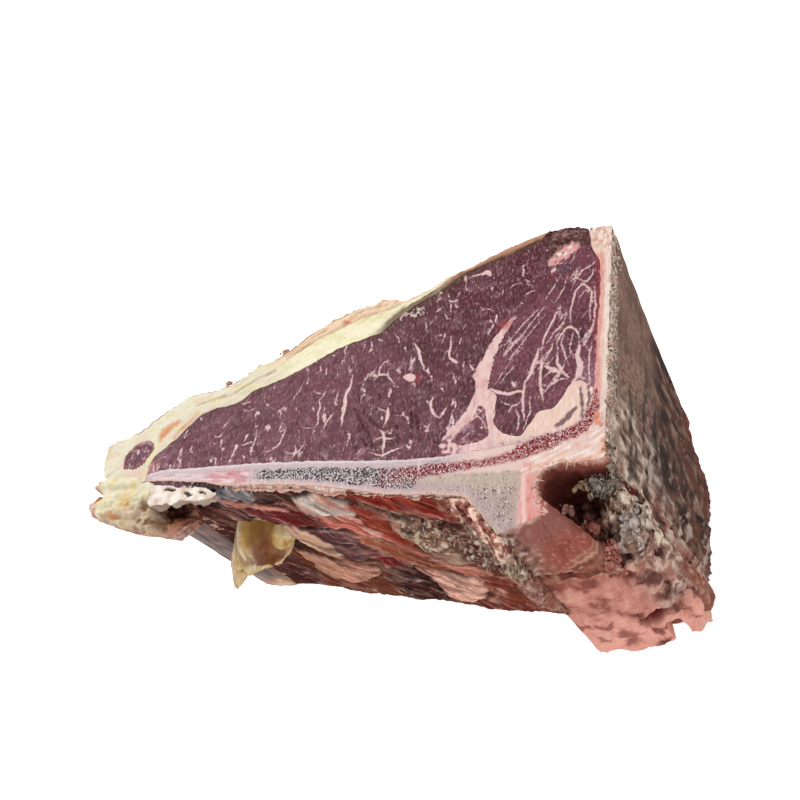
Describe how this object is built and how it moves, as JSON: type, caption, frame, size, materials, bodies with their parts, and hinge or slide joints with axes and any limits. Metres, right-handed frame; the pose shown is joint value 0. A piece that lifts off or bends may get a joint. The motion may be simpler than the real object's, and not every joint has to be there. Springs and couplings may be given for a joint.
{
  "type": "bone-in sirloin",
  "caption": "Block of dry-aged bone-in beef sirloin: marbled loin under a fat cap, sawn vertebrae along one side and ragged dried flesh and fat on the inner side.",
  "frame": {"origin": "on the far cut face, under the middle of the loin, where the block rests", "axes": "+Z along the backbone towards the fresh cut face, +X towards the sawn backbone side, +Y the way the spines of the vertebrae point"},
  "size_m": [0.2177, 0.1204, 0.12],
  "materials": {
    "lean": "dark mauve-red dry-aged lean, finely marbled, moist satin",
    "fat": "cream-yellow hard fat, waxy satin",
    "seam_fat": "pale pink seam fat, waxy satin",
    "bone": "sawn bone, lavender-grey with a speckled core, matt",
    "gristle": "pinkish tan gristle, matt",
    "dried_lean": "dried red-brown lean, leathery",
    "dried_fat": "crumbly greyish cream dried fat, matt"
  },
  "bodies": {
    "root": {"fat_cap": "fat", "flank_muscle": "lean", "loin_eye": "lean", "seam_fat": "seam_fat", "deep_muscle": "lean", "chine_muscle": "lean", "tip_fat": "seam_fat", "vertebra_1": "bone", "vertebra_2": "bone", "vertebra_3": "bone", "joint_gristle_1": "gristle", "joint_gristle_2": "gristle", "canal_tissue": "dried_fat", "flank_fat_1": "fat", "flank_fat_2": "fat", "inner_lean": "dried_lean", "inner_muscle": "lean", "inner_fat": "dried_fat", "inner_gristle": "gristle"}
  },
  "joints": []
}
